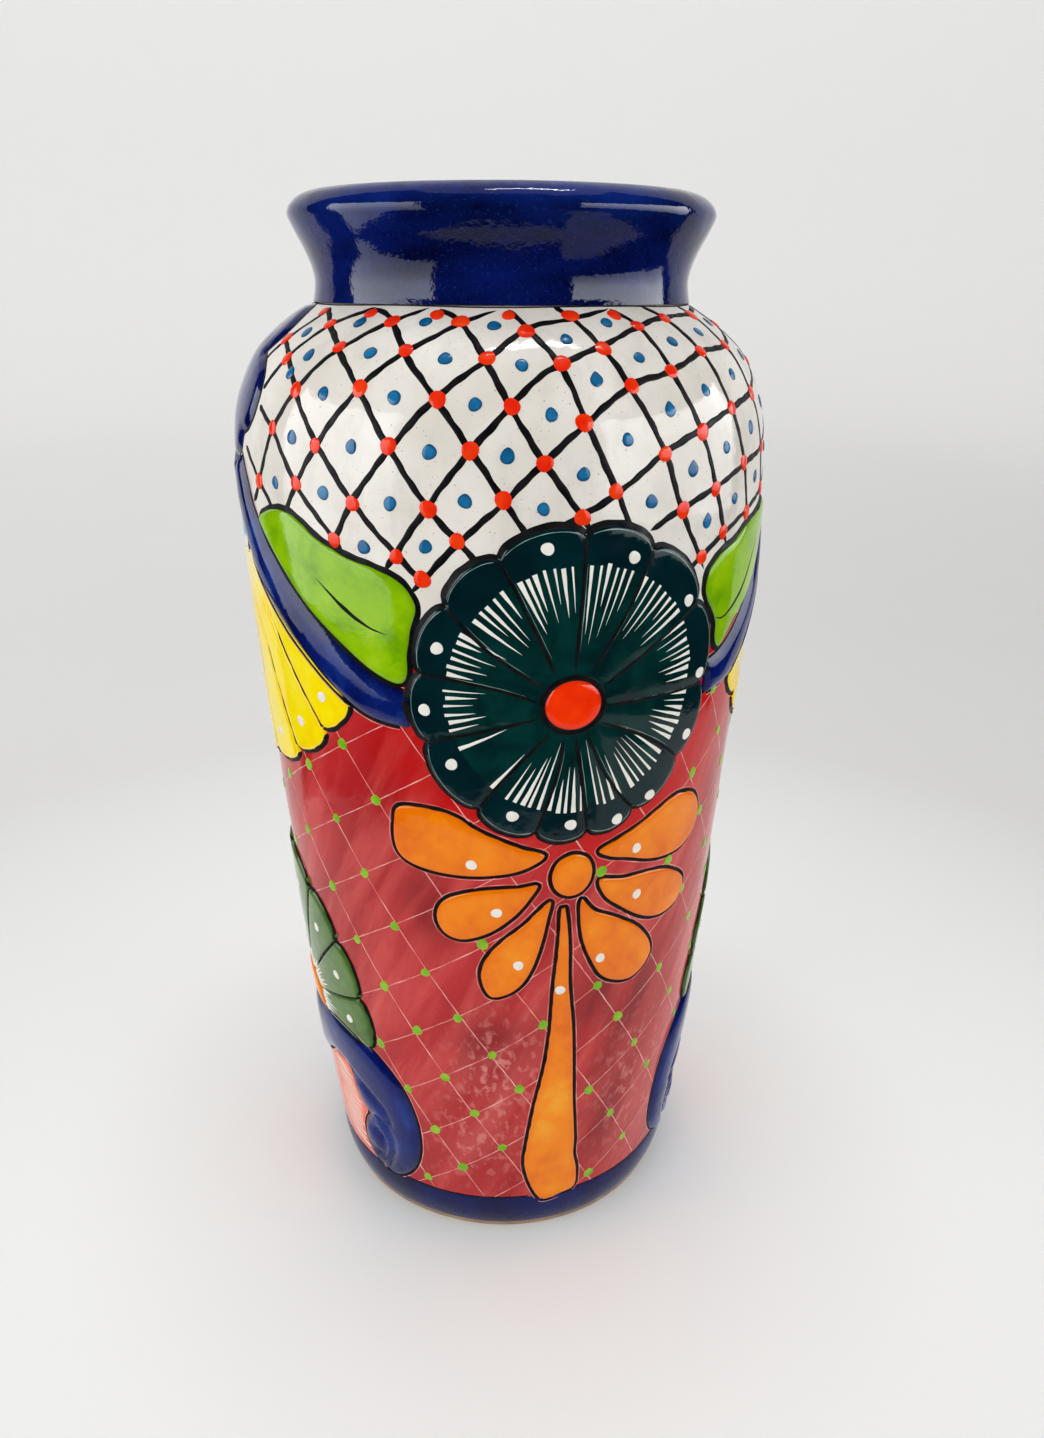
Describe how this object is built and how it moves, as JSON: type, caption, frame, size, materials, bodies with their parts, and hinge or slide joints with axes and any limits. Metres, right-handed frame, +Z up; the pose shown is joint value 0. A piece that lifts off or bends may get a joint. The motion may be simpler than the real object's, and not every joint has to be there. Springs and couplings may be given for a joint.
{
  "type": "talavera pottery vase",
  "caption": "Tall shouldered pottery vase with a flared collar, glazed fields of colour and low relief flowers, leaves, swags, plumes, fans and scrolls.",
  "frame": {"origin": "centre of the foot, on the surface that the vase stands on", "axes": "+Z up along the axis of the vase, -Y towards the front flower, +X to the right seen from the front"},
  "size_m": [0.198, 0.1976, 0.4],
  "materials": {
    "bare_clay": "matte",
    "inside_glaze": "glossy",
    "cobalt_glaze": "glossy",
    "cream_glaze": "glossy",
    "red_glaze": "glossy",
    "teal_glaze": "glossy",
    "green_glaze": "glossy",
    "orange_glaze": "glossy",
    "leaf_glaze": "glossy",
    "yellow_glaze": "glossy",
    "sky_glaze": "glossy",
    "coral_glaze": "glossy"
  },
  "bodies": {
    "root": {"clay_body": "bare_clay", "clay_collar": "bare_clay", "inner_glaze": "inside_glaze", "collar_glaze": "cobalt_glaze", "shoulder_glaze": "cream_glaze", "red_glaze": "red_glaze", "foot_glaze": "cobalt_glaze", "front_flower_petals": "teal_glaze", "front_flower_button": "orange_glaze", "front_leaf_left": "leaf_glaze", "front_leaf_right": "leaf_glaze", "front_swag_left": "cobalt_glaze", "front_swag_right": "cobalt_glaze", "front_plume_button": "orange_glaze", "front_plume_petals": "orange_glaze", "front_plume_stem": "orange_glaze", "back_flower_petals": "teal_glaze", "back_flower_button": "orange_glaze", "back_leaf_left": "leaf_glaze", "back_leaf_right": "leaf_glaze", "back_swag_left": "cobalt_glaze", "back_swag_right": "cobalt_glaze", "back_plume_button": "orange_glaze", "back_plume_petals": "orange_glaze", "back_plume_stem": "orange_glaze", "left_crest": "cobalt_glaze", "left_fan_heart": "sky_glaze", "left_fan_petals": "yellow_glaze", "left_flower_petals": "green_glaze", "left_flower_button": "orange_glaze", "left_scrolls": "cobalt_glaze", "left_coral_panel": "coral_glaze", "right_crest": "cobalt_glaze", "right_fan_heart": "sky_glaze", "right_fan_petals": "yellow_glaze", "right_flower_petals": "green_glaze", "right_flower_button": "orange_glaze", "right_scrolls": "cobalt_glaze", "right_coral_panel": "coral_glaze"}
  },
  "joints": []
}
